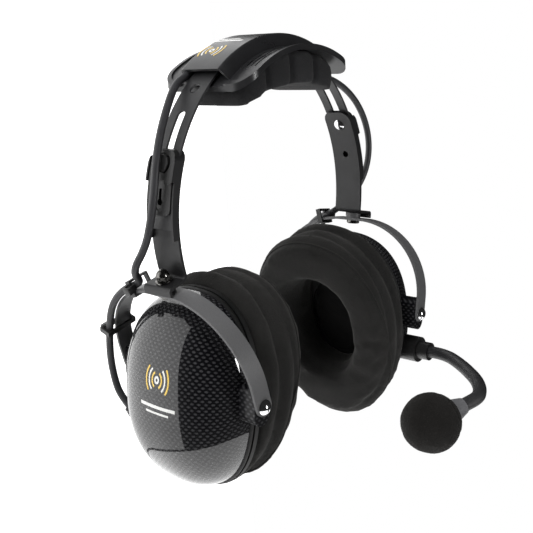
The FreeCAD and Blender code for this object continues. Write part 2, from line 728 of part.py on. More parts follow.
save("boom_collar", make_boom_collar())
save("boom_tube", make_boom_tube())
save("mic_holder", make_mic_holder())
save("mic_capsule", make_mic_capsule())
save("windscreen", make_windscreen())

# The cable is one route, parted where it passes from one moving body to the next.
run_points = [stirrup_point(point) for point in stirrup_run]
right_points = [flip(point) for point in reversed(run_points)] + right_drop
route = rounded_route(right_points + crown_route() + left_drop + run_points)
tail_edges = 6
run_edges = 2 * len(stirrup_run) - 2
right_end = 2 * len(right_points)
left_start = right_end + 2 * len(crown_route()) - 2
total = len(route)
stretches = {
    "right_cable_tail": (0, tail_edges),
    "right_cable_run": (tail_edges, run_edges),
    "right_cable_slack": (run_edges, right_end),
    "overhead_cable": (right_end, left_start),
    "left_cable_slack": (left_start, total - run_edges),
    "left_cable_run": (total - run_edges, total - tail_edges),
    "left_cable_tail": (total - tail_edges, total),
}
for name, (start, end) in stretches.items():
    save(name, tube(route[start:end], cable_radius))
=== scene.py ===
# Headset with a sprung headband, carbon-look cups, cloth ear seals and a boom microphone.
import bpy
import json
from math import asin, atan2, cos, exp, hypot, pi, radians, sin
from mathutils import Matrix, Vector, noise
from mathutils.bvhtree import BVHTree


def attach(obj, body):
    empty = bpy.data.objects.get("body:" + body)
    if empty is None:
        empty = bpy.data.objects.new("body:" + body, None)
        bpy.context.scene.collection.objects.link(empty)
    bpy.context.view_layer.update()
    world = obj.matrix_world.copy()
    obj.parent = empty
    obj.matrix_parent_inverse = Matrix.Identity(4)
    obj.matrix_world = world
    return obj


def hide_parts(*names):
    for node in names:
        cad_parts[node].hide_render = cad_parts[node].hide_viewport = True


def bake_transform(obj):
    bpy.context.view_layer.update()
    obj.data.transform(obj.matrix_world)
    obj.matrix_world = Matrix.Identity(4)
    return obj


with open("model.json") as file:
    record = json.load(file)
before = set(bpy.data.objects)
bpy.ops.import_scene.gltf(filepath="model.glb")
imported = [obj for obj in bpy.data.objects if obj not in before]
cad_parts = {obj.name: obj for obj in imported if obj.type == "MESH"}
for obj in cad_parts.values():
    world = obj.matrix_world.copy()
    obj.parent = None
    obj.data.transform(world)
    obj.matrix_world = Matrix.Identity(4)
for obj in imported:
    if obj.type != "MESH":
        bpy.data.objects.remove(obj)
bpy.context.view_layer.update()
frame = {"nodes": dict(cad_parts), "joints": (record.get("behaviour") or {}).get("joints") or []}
nodes = frame["nodes"]
joints = {joint["name"]: joint for joint in frame["joints"]}
sides = {"left": 1, "right": -1}
mm = 0.001


# small helpers, used by every piece

def selectOnly(piece):
    bpy.ops.object.select_all(action="DESELECT")
    piece.select_set(True)
    bpy.context.view_layer.objects.active = piece


def applyModifiers(piece):
    selectOnly(piece)
    for modifier in list(piece.modifiers):
        bpy.ops.object.modifier_apply(modifier=modifier.name)


def settle(piece):
    # the place goes into the mesh, so the object sits at the origin like a CAD node
    selectOnly(piece)
    bpy.ops.object.transform_apply(location=True, rotation=True, scale=True)


def smooth(piece, angle=40):
    selectOnly(piece)
    bpy.ops.object.shade_smooth_by_angle(angle=radians(angle))


def copyNode(name, newName):
    # a merged copy of a CAD node, to shape further
    piece = bpy.data.objects.new(newName, nodes[name].data.copy())
    bpy.context.scene.collection.objects.link(piece)
    selectOnly(piece)
    bpy.ops.object.mode_set(mode="EDIT")
    bpy.ops.mesh.select_all(action="SELECT")
    bpy.ops.mesh.remove_doubles(threshold=0.00002)
    bpy.ops.mesh.normals_make_consistent(inside=False)
    bpy.ops.object.mode_set(mode="OBJECT")
    return piece


def tidyNormals(piece):
    selectOnly(piece)
    bpy.ops.object.mode_set(mode="EDIT")
    bpy.ops.mesh.select_all(action="SELECT")
    bpy.ops.mesh.remove_doubles(threshold=0.00001)
    bpy.ops.mesh.normals_make_consistent(inside=False)
    bpy.ops.object.mode_set(mode="OBJECT")


def faceOutwards(piece, inside):
    # for an open sheet, which has no inside of its own
    tidyNormals(piece)
    facing = sum((face.center - inside).dot(face.normal) for face in piece.data.polygons)
    if facing < 0:
        piece.data.flip_normals()


def dress(piece, material, body=None):
    piece.data.materials.clear()
    piece.data.materials.append(material)
    if body:
        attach(piece, body)


def paintNode(name, material):
    nodes[name].data.materials.clear()
    nodes[name].data.materials.append(material)
    for face in nodes[name].data.polygons:
        face.material_index = 0


def seatFrame(side):
    # the cup's own frame: origin on the pivot, X out from the head, Y along the pivot
    tilt = joints[side + "_tilt"]
    swivel = joints[side + "_swivel"]
    across = Vector(tilt["axis"]) * sides[side]
    upright = Vector(swivel["axis"]) * sides[side]
    outward = across.cross(upright) * sides[side]
    turned = Matrix((outward, across, upright)).transposed()
    return turned, Vector(tilt["pos_m"])


# materials

def startMaterial(name, colour, roughness, metallic=0.0, specular=0.5):
    material = bpy.data.materials.new(name)
    material.use_nodes = True
    tree = material.node_tree
    shader = tree.nodes["Principled BSDF"]
    shader.inputs["Base Color"].default_value = (*colour, 1)
    shader.inputs["Roughness"].default_value = roughness
    shader.inputs["Metallic"].default_value = metallic
    shader.inputs["Specular IOR Level"].default_value = specular
    place = tree.nodes.new("ShaderNodeTexCoord")
    return material, tree, shader, place.outputs["Object"]


def addNoise(tree, place, scale, detail=4.0, roughness=0.55, distortion=0.0):
    texture = tree.nodes.new("ShaderNodeTexNoise")
    texture.inputs["Scale"].default_value = scale
    texture.inputs["Detail"].default_value = detail
    texture.inputs["Roughness"].default_value = roughness
    texture.inputs["Distortion"].default_value = distortion
    tree.links.new(place, texture.inputs["Vector"])
    return texture.outputs["Fac"]


def addRamp(tree, value, low, high, fromLow=0.3, fromHigh=0.7):
    ramp = tree.nodes.new("ShaderNodeMapRange")
    ramp.inputs["From Min"].default_value = fromLow
    ramp.inputs["From Max"].default_value = fromHigh
    ramp.inputs["To Min"].default_value = low
    ramp.inputs["To Max"].default_value = high
    tree.links.new(value, ramp.inputs["Value"])
    return ramp.outputs["Result"]


def addMix(tree, factor, colourA, colourB):
    mix = tree.nodes.new("ShaderNodeMix")
    mix.data_type = "RGBA"
    mix.inputs["A"].default_value = (*colourA, 1)
    mix.inputs["B"].default_value = (*colourB, 1)
    tree.links.new(factor, mix.inputs["Factor"])
    return mix.outputs["Result"]


def addBump(tree, shader, height, strength, distance):
    bump = tree.nodes.new("ShaderNodeBump")
    bump.inputs["Strength"].default_value = strength
    bump.inputs["Distance"].default_value = distance
    tree.links.new(height, bump.inputs["Height"])
    if shader.inputs["Normal"].is_linked:
        tree.links.new(shader.inputs["Normal"].links[0].from_socket, bump.inputs["Normal"])
    tree.links.new(bump.outputs["Normal"], shader.inputs["Normal"])
    return bump


def satinPaint(name, colour, roughness, grain=2600):
    # powder coat: a fine orange peel, and a slow change of gloss
    material, tree, shader, place = startMaterial(name, colour, roughness)
    peel = addNoise(tree, place, grain, 3)
    addBump(tree, shader, peel, 0.12, 0.0001)
    cloud = addNoise(tree, place, 60, 3)
    tree.links.new(addRamp(tree, cloud, roughness - 0.05, roughness + 0.07), shader.inputs["Roughness"])
    paler = [value * 1.35 + 0.002 for value in colour]
    tree.links.new(addMix(tree, addRamp(tree, peel, 0, 1), colour, paler), shader.inputs["Base Color"])
    return material


def mouldedPlastic(name, colour, roughness, grain=1800, depth=0.00012):
    material, tree, shader, place = startMaterial(name, colour, roughness)
    spark = addNoise(tree, place, grain, 5, 0.6)
    addBump(tree, shader, spark, 0.25, depth)
    handled = addNoise(tree, place, 45, 4)
    tree.links.new(addRamp(tree, handled, roughness - 0.08, roughness + 0.06), shader.inputs["Roughness"])
    paler = [value * 1.3 + 0.002 for value in colour]
    tree.links.new(addMix(tree, addRamp(tree, handled, 0, 1), colour, paler), shader.inputs["Base Color"])
    return material


def polishedMetal(name, colour, roughness):
    material, tree, shader, place = startMaterial(name, colour, roughness, metallic=1.0)
    worn = addNoise(tree, place, 700, 4)
    tree.links.new(addRamp(tree, worn, roughness * 0.6, roughness * 1.8), shader.inputs["Roughness"])
    return material


def clothWeave(name, colour, paler, fuzz=0.5):
    # brushed stretch cloth: fine loops, soft nap, faint lint
    material, tree, shader, place = startMaterial(name, colour, 0.95, specular=0.15)
    loops = tree.nodes.new("ShaderNodeTexVoronoi")
    loops.inputs["Scale"].default_value = 1500
    tree.links.new(place, loops.inputs["Vector"])
    addBump(tree, shader, loops.outputs["Distance"], 0.5, 0.00025)
    nap = addNoise(tree, place, 420, 6, 0.7)
    addBump(tree, shader, nap, 0.45, 0.0006)
    blotch = addNoise(tree, place, 28, 4, 0.6)
    tree.links.new(addMix(tree, addRamp(tree, blotch, 0, 1), colour, paler), shader.inputs["Base Color"])
    shader.inputs["Sheen Weight"].default_value = fuzz
    shader.inputs["Sheen Roughness"].default_value = 0.55
    shader.inputs["Sheen Tint"].default_value = (0.95, 0.93, 0.9, 1)
    return material


bandPaint = satinPaint("bandPaint", (0.017, 0.017, 0.018), 0.46)
hangerPaint = satinPaint("hangerPaint", (0.008, 0.008, 0.0085), 0.46)
stirrupPaint = satinPaint("stirrupPaint", (0.088, 0.088, 0.09), 0.42)
coverPlastic = mouldedPlastic("coverPlastic", (0.015, 0.015, 0.016), 0.32)
trimPlastic = mouldedPlastic("trimPlastic", (0.012, 0.012, 0.012), 0.4)
# near-black plastic, darker and more matte than the trim: its own black plus painted shade for the gap round
# each dome and the hole in each cup
paintedShadePlastic = mouldedPlastic("paintedShadePlastic", (0.005, 0.005, 0.005), 0.68)
holderPlastic = mouldedPlastic("holderPlastic", (0.10, 0.10, 0.105), 0.5)
cableRubber = mouldedPlastic("cableRubber", (0.024, 0.024, 0.026), 0.5, 2400)
boomSleeve = mouldedPlastic("boomSleeve", (0.018, 0.018, 0.019), 0.55, 1400, 0.0002)
chrome = polishedMetal("chrome", (0.82, 0.82, 0.83), 0.1)
darkSteel = polishedMetal("darkSteel", (0.2, 0.195, 0.185), 0.2)
sealCloth = clothWeave("sealCloth", (0.0095, 0.0095, 0.0092), (0.0175, 0.017, 0.0163), 0.07)
padFoam = clothWeave("padFoam", (0.022, 0.022, 0.023), (0.034, 0.034, 0.036), 0.06)
screenFoam = clothWeave("screenFoam", (0.0075, 0.007, 0.0065), (0.0125, 0.0118, 0.011), 0.05)
earFoam = clothWeave("earFoam", (0.004, 0.004, 0.004), (0.006, 0.006, 0.006), 0.02)
linerFoam = clothWeave("linerFoam", (0.06, 0.06, 0.06), (0.09, 0.09, 0.09), 0.05)

nodeFinish = {
    "headband_spring": bandPaint, "pad_cover": coverPlastic, "head_pad": padFoam,
    "overhead_cable": cableRubber, "left_boom_socket": trimPlastic, "left_lead_gland": trimPlastic,
    "boom_collar": trimPlastic, "boom_tube": boomSleeve, "mic_holder": holderPlastic,
    "mic_capsule": darkSteel, "windscreen": screenFoam,
}
# the seal plate, speaker and speaker ring take the darker plastic, painted shade in the gap and the hole of
# each cup
sideFinish = {
    "hanger": hangerPaint, "clamp_plate": trimPlastic, "clamp_screw": chrome, "clamp_knob": trimPlastic,
    "stirrup": stirrupPaint, "swivel_bolt": darkSteel, "swivel_nut": darkSteel, "upper_tie": trimPlastic,
    "lower_tie": trimPlastic, "cup_shell": trimPlastic, "seal_plate": paintedShadePlastic, "ear_seal": sealCloth,
    "ear_foam": earFoam, "speaker": paintedShadePlastic, "speaker_ring": paintedShadePlastic, "foam_liner": linerFoam,
    "front_lug": trimPlastic, "rear_lug": trimPlastic, "front_screw": chrome, "rear_screw": chrome,
    "cable_inlet": cableRubber, "cable_slack": cableRubber, "cable_run": cableRubber,
    "cable_tail": cableRubber,
}
for name, finish in nodeFinish.items():
    paintNode(name, finish)
for side in sides:
    for name, finish in sideFinish.items():
        paintNode(side + "_" + name, finish)
for node in nodes.values():
    smooth(node, 30)
print("frame and finishes ready")


# cup domes

dome = {
    "halfY": 41.0 * mm, "halfZ": 52.5 * mm, "depth": 34.0 * mm, "centreZ": -3.6 * mm, "rimX": -5.0 * mm,
    "outline": 2.4, "profile": 2.3, "leanBack": -18.3, "wall": 2.4 * mm, "segments": 128, "rings": 96,
    "step": 1.2 * mm, "bead": 3.0 * mm, "tow": 0.25, "towTurn": 46,
    "chipScale": (140, 140, 100), "lacquerIor": 1.55,
}


def roundness(across, along, power):
    # how far a superellipse reaches in this direction, against a circle
    return 1 / (abs(across) ** power + abs(along) ** power) ** (1 / power)


def domePoint(bearing, height):
    # bearing round the outline from +Y, height from the rim (0) to the crown (pi / 2)
    rise = roundness(cos(height), sin(height), dome["profile"])
    spread = rise * cos(height) * roundness(cos(bearing), sin(bearing), dome["outline"])
    return Vector((dome["rimX"] + dome["depth"] * rise * sin(height),
                   dome["halfY"] * spread * cos(bearing),
                   dome["centreZ"] + dome["halfZ"] * spread * sin(bearing)))


def crownDistance(bearing, height):
    # length over the surface from the crown, so that the weave keeps its size
    steps = 20
    total = 0.0
    last = domePoint(bearing, pi / 2)
    for step in range(1, steps + 1):
        here = domePoint(bearing, pi / 2 + (height - pi / 2) * step / steps)
        total += (here - last).length
        last = here
    return total


def cupMatrix(side):
    turned, pivot = seatFrame(side)
    lean = Matrix.Rotation(radians(dome["leanBack"]), 3, "Y")
    return Matrix.Translation(pivot) @ (turned @ lean).to_4x4()


def makeDome(side):
    bpy.ops.object.select_all(action="DESELECT")
    bpy.ops.mesh.primitive_uv_sphere_add(segments=dome["segments"], ring_count=dome["rings"], radius=1)
    piece = bpy.context.object
    piece.name = side + "_cup_dome"
    bpy.ops.object.mode_set(mode="EDIT")
    bpy.ops.mesh.select_all(action="SELECT")
    bpy.ops.mesh.bisect(plane_co=(0, 0, 0), plane_no=(0, 0, 1), clear_inner=True)
    bpy.ops.object.mode_set(mode="OBJECT")
    mesh = piece.data
    weave = mesh.uv_layers.new(name="weave") if not mesh.uv_layers else mesh.uv_layers[0]
    weave.name = "weave"
    spots = []
    for vertex in mesh.vertices:
        height = asin(max(0.0, min(1.0, vertex.co.z)))
        bearing = atan2(vertex.co.y, vertex.co.x)
        reach = crownDistance(bearing, height)
        point = domePoint(bearing, height)
        flat = Vector((point.y, point.z - dome["centreZ"]))
        if flat.length > 1e-9:
            flat.normalize()
        spots.append(flat * reach * 100)
        vertex.co = point
    for loop in mesh.loops:
        weave.data[loop.index].uv = spots[loop.vertex_index]
    piece.data.transform(cupMatrix(side))
    faceOutwards(piece, cupMatrix(side) @ Vector((0, 0, 0)))
    shell = piece.modifiers.new("wall", "SOLIDIFY")
    shell.thickness = dome["wall"]
    shell.offset = -1
    applyModifiers(piece)
    smooth(piece, 60)
    return piece


def addTows(tree, flat):
    # pale oval tows in staggered rows: 1 inside a tow, 0 between
    lattice = tree.nodes.new("ShaderNodeMapping")
    lattice.inputs["Rotation"].default_value = (0, 0, radians(dome["towTurn"]))
    lattice.inputs["Scale"].default_value = (1 / dome["tow"], 1 / dome["tow"], 0)
    tree.links.new(flat, lattice.inputs["Vector"])
    cell = tree.nodes.new("ShaderNodeVectorMath")
    cell.operation = "FRACTION"
    tree.links.new(lattice.outputs["Vector"], cell.inputs[0])
    middle = tree.nodes.new("ShaderNodeVectorMath")
    middle.operation = "SUBTRACT"
    middle.inputs[1].default_value = (0.5, 0.5, 0)
    tree.links.new(cell.outputs["Vector"], middle.inputs[0])
    upright = tree.nodes.new("ShaderNodeMapping")
    upright.inputs["Rotation"].default_value = (0, 0, radians(-dome["towTurn"]))
    tree.links.new(middle.outputs["Vector"], upright.inputs["Vector"])
    oval = tree.nodes.new("ShaderNodeVectorMath")
    oval.operation = "MULTIPLY"
    oval.inputs[1].default_value = (1.0, 1.55, 0)
    tree.links.new(upright.outputs["Vector"], oval.inputs[0])
    reach = tree.nodes.new("ShaderNodeVectorMath")
    reach.operation = "LENGTH"
    tree.links.new(oval.outputs["Vector"], reach.inputs[0])
    return addRamp(tree, reach.outputs["Value"], 1, 0, 0.2, 0.47)


def carbonGloss(name, fromUv=True, lacquer=1.0):
    # a twill print under clear lacquer
    material, tree, shader, place = startMaterial(name, (0.006, 0.006, 0.007), 0.34)
    if fromUv:
        weave = tree.nodes.new("ShaderNodeUVMap")
        weave.uv_map = "weave"
        flat = weave.outputs["UV"]
    else:
        corner = tree.nodes.new("ShaderNodeMapping")
        corner.inputs["Rotation"].default_value = (0, 0, radians(45))
        corner.inputs["Scale"].default_value = dome["chipScale"]
        tree.links.new(place, corner.inputs["Vector"])
        turn = tree.nodes.new("ShaderNodeMapping")
        turn.inputs["Rotation"].default_value = (radians(-90), 0, 0)
        tree.links.new(corner.outputs["Vector"], turn.inputs["Vector"])
        flat = turn.outputs["Vector"]
    tow = addTows(tree, flat)
    threads = addNoise(tree, place, 2200, 3)
    speck = addRamp(tree, threads, 0.7, 1.0)
    both = tree.nodes.new("ShaderNodeMath")
    both.operation = "MULTIPLY"
    tree.links.new(tow, both.inputs[0])
    tree.links.new(speck, both.inputs[1])
    tree.links.new(addMix(tree, both.outputs[0], (0.003, 0.003, 0.004), (0.05, 0.05, 0.053)),
                   shader.inputs["Base Color"])
    tree.links.new(addRamp(tree, tow, 0.5, 0.28, 0, 1), shader.inputs["Roughness"])
    shader.inputs["Specular IOR Level"].default_value = 0.1
    shader.inputs["Coat Weight"].default_value = lacquer
    shader.inputs["Coat Roughness"].default_value = 0.015
    shader.inputs["Coat IOR"].default_value = dome["lacquerIor"]
    return material


carbon = carbonGloss("carbonGloss")
carbonChip = carbonGloss("carbonChip", False, 0.3)
for side in sides:
    for end in ("_front_lug", "_rear_lug"):
        paintNode(side + end, carbonChip)
for side in sides:
    cupDome = makeDome(side)
    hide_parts(side + "_cup_shell")
    dress(cupDome, carbon, side + "_cup")
print("cup domes ready")


# cup rims: a rounded black bead between the dome and the seal plate

def makeRim(side):
    bpy.ops.object.select_all(action="DESELECT")
    bpy.ops.mesh.primitive_torus_add(major_segments=160, minor_segments=16, major_radius=1, minor_radius=0.2)
    piece = bpy.context.object
    piece.name = side + "_cup_rim"
    half = dome["bead"] / 2
    for vertex in piece.data.vertices:
        bearing = atan2(vertex.co.y, vertex.co.x)
        spread = roundness(cos(bearing), sin(bearing), dome["outline"])
        out = hypot(vertex.co.x, vertex.co.y) - 1
        rise = vertex.co.z / 0.2
        edge = out / 0.2 * dome["step"]
        vertex.co = (dome["rimX"] + half + rise * half,
                     (dome["halfY"] - 0.3 * mm + edge) * spread * cos(bearing),
                     dome["centreZ"] + (dome["halfZ"] - 0.3 * mm + edge) * spread * sin(bearing))
    piece.data.transform(cupMatrix(side))
    tidyNormals(piece)
    smooth(piece, 60)
    return piece


for side in sides:
    rim = makeRim(side)
    # the rim takes the darker plastic, painted shade for the gap between dome and seal
    dress(rim, paintedShadePlastic, side + "_cup")
print("cup rims ready")


# ear seals: stretch cloth over a foam ring, hemmed at the back and piped round the face

seal = {
    "shrink": 0.6 * mm, "voxel": 2.8 * mm, "pressure": 2.5, "slack": -0.015, "cap": 2.6 * mm, "frames": 20,
    "ripple": 0.5 * mm, "thick": 32 * mm, "held": 6 * mm, "piping": 0.75 * mm, "pipingAt": 0.80,
    "folds": ((0.16, 0.07, 0.9), (0.36, 0.05, -1.3), (0.53, 0.08, 1.0), (0.7, 0.045, -1.1)),
}


def puff(piece, settings, pinned=None):
    # lets the cover swell over its filling, then holds the result
    rest = [vertex.co.copy() for vertex in piece.data.vertices]
    selectOnly(piece)
    cloth = piece.modifiers.new("cover", "CLOTH")
    cloth.settings.use_pressure = True
    cloth.settings.uniform_pressure_force = settings["pressure"]
    cloth.settings.shrink_min = settings["slack"]
    cloth.settings.tension_stiffness = 30
    cloth.settings.bending_stiffness = 1.0
    cloth.settings.effector_weights.gravity = 0
    if pinned:
        group = piece.vertex_groups.new(name="held")
        group.add(pinned, 1.0, "REPLACE")
        cloth.settings.vertex_group_mass = "held"
    for frameNumber in range(1, settings["frames"] + 1):
        bpy.context.scene.frame_set(frameNumber)
    applyModifiers(piece)
    bpy.context.scene.frame_set(1)
    for vertex, start in zip(piece.data.vertices, rest):
        move = vertex.co - start
        if move.length > settings["cap"]:
            vertex.co = start + move.normalized() * settings["cap"]
    if pinned:
        piece.vertex_groups.clear()


def remeshed(piece, voxel, shrink, softening=2):
    selectOnly(piece)
    mould = piece.modifiers.new("voxels", "REMESH")
    mould.mode = "VOXEL"
    mould.voxel_size = voxel
    mould.use_smooth_shade = True
    applyModifiers(piece)
    soften = piece.modifiers.new("soften", "SMOOTH")
    soften.iterations = softening
    soften.factor = 0.5
    applyModifiers(piece)
    normals = [vertex.normal.copy() for vertex in piece.data.vertices]
    for vertex, normal in zip(piece.data.vertices, normals):
        vertex.co -= normal * shrink


def refine(piece):
    finer = piece.modifiers.new("finer", "SUBSURF")
    finer.levels = 1
    finer.render_levels = 1
    applyModifiers(piece)


def makeSeal(side):
    piece = copyNode(side + "_ear_seal", side + "_seal_cover")
    remeshed(piece, seal["voxel"], seal["shrink"])
    toCup = cupMatrix(side).inverted()
    back = dome["rimX"] - 2.6 * mm
    pinned = [vertex.index for vertex in piece.data.vertices if (toCup @ vertex.co).x > back - seal["held"]]
    puff(piece, seal, pinned)
    refine(piece)
    piece.data.update()
    normals = [vertex.normal.copy() for vertex in piece.data.vertices]
    for vertex, normal in zip(piece.data.vertices, normals):
        here = toCup @ vertex.co
        around = atan2(here.z, here.y)
        along = (back - here.x) / seal["thick"]
        # long soft folds that run round the side
        wave = noise.noise(Vector((1.6 * cos(around), 1.6 * sin(around), along * 4 + sides[side])))
        drift = 0.05 * noise.noise(Vector((1.3 * cos(around), 1.3 * sin(around), 9 + sides[side])))
        outside = min(1.0, max(0.0, hypot(here.y, here.z - dome["centreZ"]) / (36 * mm) - 0.4))
        folds = sum(rise * exp(-((along - spot - drift) / wide) ** 2) for spot, wide, rise in seal["folds"])
        vertex.co += normal * (wave * seal["ripple"] + folds * outside * mm)
    smooth(piece, 180)
    return piece


def ringCurve(name, points, radius, closed=True):
    data = bpy.data.curves.new(name, "CURVE")
    data.dimensions = "3D"
    spline = data.splines.new("NURBS")
    spline.points.add(len(points) - 1)
    for slot, point in zip(spline.points, points):
        slot.co = (*point, 1)
    spline.order_u = 3
    spline.use_cyclic_u = closed
    spline.use_endpoint_u = not closed
    spline.resolution_u = 4
    data.bevel_depth = radius
    data.bevel_resolution = 4
    data.use_fill_caps = True
    piece = bpy.data.objects.new(name, data)
    bpy.context.scene.collection.objects.link(piece)
    selectOnly(piece)
    bpy.ops.object.convert(target="MESH")
    piece = bpy.context.object
    smooth(piece, 60)
    return piece


def makePiping(side, cover):
    # a piped seam where the face panel meets the side panel
    toCup = cupMatrix(side).inverted()
    fromCup = cupMatrix(side)
    hull = BVHTree.FromPolygons([toCup @ vertex.co for vertex in cover.data.vertices],
                                [face.vertices[:] for face in cover.data.polygons])
    depth = dome["rimX"] - seal["thick"] * seal["pipingAt"]
    points = []
    steps = 72
    for step in range(steps):
        bearing = 2 * pi * step / steps
        direction = Vector((0, cos(bearing), sin(bearing)))
        # the face leans, so the seam follows it
        start = Vector((depth, 0, dome["centreZ"])) + direction * 0.09
        start.x = depth - 0.1 * (start.z - dome["centreZ"])
        hit = hull.ray_cast(start, -direction)
        if hit[0] is not None:
            points.append(fromCup @ (hit[0] - direction * seal["piping"] * 0.2))
    return ringCurve(side + "_seal_piping", points, seal["piping"])


for side in sides:
    cover = makeSeal(side)
    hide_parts(side + "_ear_seal")
    dress(cover, sealCloth, side + "_cup")
    piping = makePiping(side, cover)
    dress(piping, sealCloth, side + "_cup")
print("ear seals ready")


# foam inside the cups: a thin disc over the speaker, and the liner behind it

foam = {"voxel": 1.6 * mm, "shrink": 0.1 * mm, "grain": 0.25 * mm}


def makeFoam(name, newName, voxel):
    piece = copyNode(name, newName)
    remeshed(piece, voxel, foam["shrink"], 3)
    for vertex in piece.data.vertices:
        vertex.co += vertex.normal * noise.noise(vertex.co * 260) * foam["grain"]
    smooth(piece, 180)
    return piece


for side in sides:
    disc = makeFoam(side + "_ear_foam", side + "_foam_disc", foam["voxel"])
    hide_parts(side + "_ear_foam")
    dress(disc, earFoam, side + "_cup")
    liner = makeFoam(side + "_foam_liner", side + "_liner_foam", 2.4 * mm)
    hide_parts(side + "_foam_liner")
    dress(liner, linerFoam, side + "_cup")
print("cup foams ready")


# head pad: foam blocks under a thin cover, creased between the blocks

pad = {
    "voxel": 2.6 * mm, "shrink": 0.5 * mm, "pressure": 1.5, "slack": -0.01, "cap": 1.2 * mm, "frames": 12,
    "creases": (-18.5, 0, 18.5), "creaseDepth": 2.0 * mm, "creaseWidth": 1.2 * mm,
    "longer": 1.1, "deeper": 3.4 * mm, "roof": 13 * mm, "centreZ": -56.5 * mm,
}


def makePad():
    piece = copyNode("head_pad", "pad_cushion")
    remeshed(piece, pad["voxel"], pad["shrink"])
    puff(piece, pad)
    refine(piece)
    piece.data.update()
    normals = [vertex.normal.copy() for vertex in piece.data.vertices]
    for vertex, normal in zip(piece.data.vertices, normals):
        sideways = abs(normal.y)
        if sideways > 0.35:
            dip = 0.0
            for crease in pad["creases"]:
                # the creases bow outwards from the middle of the pad
                bow = crease * mm * (1 + 4 * abs(vertex.co.z - 0.01))
                dip += exp(-((vertex.co.x - bow) / pad["creaseWidth"]) ** 2)
            vertex.co.y -= (1 if normal.y > 0 else -1) * dip * pad["creaseDepth"] * sideways
    for vertex in piece.data.vertices:
        # the foam hangs a little below its trim line, most at its ends
        hang = min(1.0, max(0.0, (pad["roof"] - vertex.co.z - abs(vertex.co.x) * 0.12) / pad["roof"]))
        reach = hypot(vertex.co.x, vertex.co.z - pad["centreZ"]) - pad["deeper"] * hang
        bearing = atan2(vertex.co.x, vertex.co.z - pad["centreZ"]) * pad["longer"]
        vertex.co.x = reach * sin(bearing)
        vertex.co.z = pad["centreZ"] + reach * cos(bearing)
    smooth(piece, 180)
    return piece


cushion = makePad()
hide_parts("head_pad")
dress(cushion, padFoam, "headband")
print("head pad ready")


# cables: one line from cup to cup over the headband, parted at the joints

cable = {
    "radius": 2.0 * mm, "sides": 20, "drop": 88.5,
    "run": ((98.2, 17.5, -4.9), (101.8, 29.5, -8.6), (105.4, 40.5, -18.4), (106.4, 49.4, -36),
            (108.9, 53.2, -53), (110.8, 53, -67), (112.4, 49.6, -76), (112.6, 43.5, -81.5)),
    "rightDrop": ((-91.8, 14.8, 2.5), (-87.8, 7.5, 15), (-87.4, 2.5, 27), (-85.4, -0.5, 42),
                  (-81.2, 0.5, 56.5), (-74, 3, 70), (-63, 5.5, 85), (-53, 10, 91.6)),
    "crown": (-37, -18.5, 0, 18.5, 37), "crownRadius": 77.1, "crownY": 10.8, "crownZ": 32.0,
    "leftDrop": ((62, 8.8, 85.4), (79.5, 5.4, 79.4), (96, 3.8, 67.4), (106.8, 3.2, 51.6), (110.6, 3.2, 34.6),
                 (106.4, 4, 18.6), (97.4, 7.6, 5.6), (89, 14.2, -2.6)),
    "lean": 11.8, "turn": 4.0, "stirrupX": 97.0, "shift": (-10.25, 18.83),
}


def runPoint(point, side):
    # from the stirrup's own frame to the row's
    x, y, z = point
    turn = radians(cable["turn"])
    lean = radians(cable["lean"])
    x -= cable["stirrupX"]
    x, y = x * cos(turn) - y * sin(turn), x * sin(turn) + y * cos(turn)
    x += cable["stirrupX"]
    across = x * cos(lean) + z * sin(lean) + cable["shift"][0]
    up = -x * sin(lean) + z * cos(lean) + cable["shift"][1]
    return Vector((sides[side] * across, y, up - cable["drop"])) * mm


def rowPoint(point):
    return Vector((point[0], point[1], point[2] - cable["drop"])) * mm


def crownPoint(angle):
    return rowPoint((cable["crownRadius"] * sin(radians(angle)), cable["crownY"],
                     cable["crownZ"] + cable["crownRadius"] * cos(radians(angle))))


def cableLine():
    points = [runPoint(point, "right") for point in reversed(cable["run"])]
    points += [rowPoint(point) for point in cable["rightDrop"]]
    points += [crownPoint(angle) for angle in cable["crown"]]
    points += [rowPoint(point) for point in cable["leftDrop"]]
    points += [runPoint(point, "left") for point in cable["run"]]
    data = bpy.data.curves.new("cable_line", "CURVE")
    data.dimensions = "3D"
    spline = data.splines.new("NURBS")
    spline.points.add(len(points) - 1)
    for slot, point in zip(spline.points, points):
        slot.co = (*point, 1)
    spline.order_u = 3
    spline.use_endpoint_u = True
    spline.resolution_u = 10
    holder = bpy.data.objects.new("cable_line", data)
    bpy.context.scene.collection.objects.link(holder)
    bpy.context.view_layer.update()
    line = bpy.data.meshes.new_from_object(holder)
    found = [vertex.co.copy() for vertex in line.vertices]
    bpy.data.objects.remove(holder)
    bpy.data.meshes.remove(line)
    return found


def makeTube(name, line, radius):
    # a round tube swept along the line without twist
    count = cable["sides"]
    vertices = []
    faces = []
    tangents = [(line[min(step + 1, len(line) - 1)] - line[max(step - 1, 0)]).normalized()
                for step in range(len(line))]
    side = tangents[0].orthogonal().normalized()
    for step, (point, tangent) in enumerate(zip(line, tangents)):
        side = (side - tangent * side.dot(tangent)).normalized()
        other = tangent.cross(side)
        for corner in range(count):
            angle = 2 * pi * corner / count
            vertices.append(point + (side * cos(angle) + other * sin(angle)) * radius)
        if step:
            for corner in range(count):
                after = (corner + 1) % count
                low = (step - 1) * count
                faces.append((low + corner, low + after, low + count + after, low + count + corner))
    faces.append(tuple(reversed(range(count))))
    faces.append(tuple(range(len(vertices) - count, len(vertices))))
    mesh = bpy.data.meshes.new(name)
    mesh.from_pydata(vertices, [], faces)
    piece = bpy.data.objects.new(name, mesh)
    bpy.context.scene.collection.objects.link(piece)
    tidyNormals(piece)
    smooth(piece, 50)
    return piece


def nearest(line, point):
    return min(range(len(line)), key=lambda step: (line[step] - point).length)


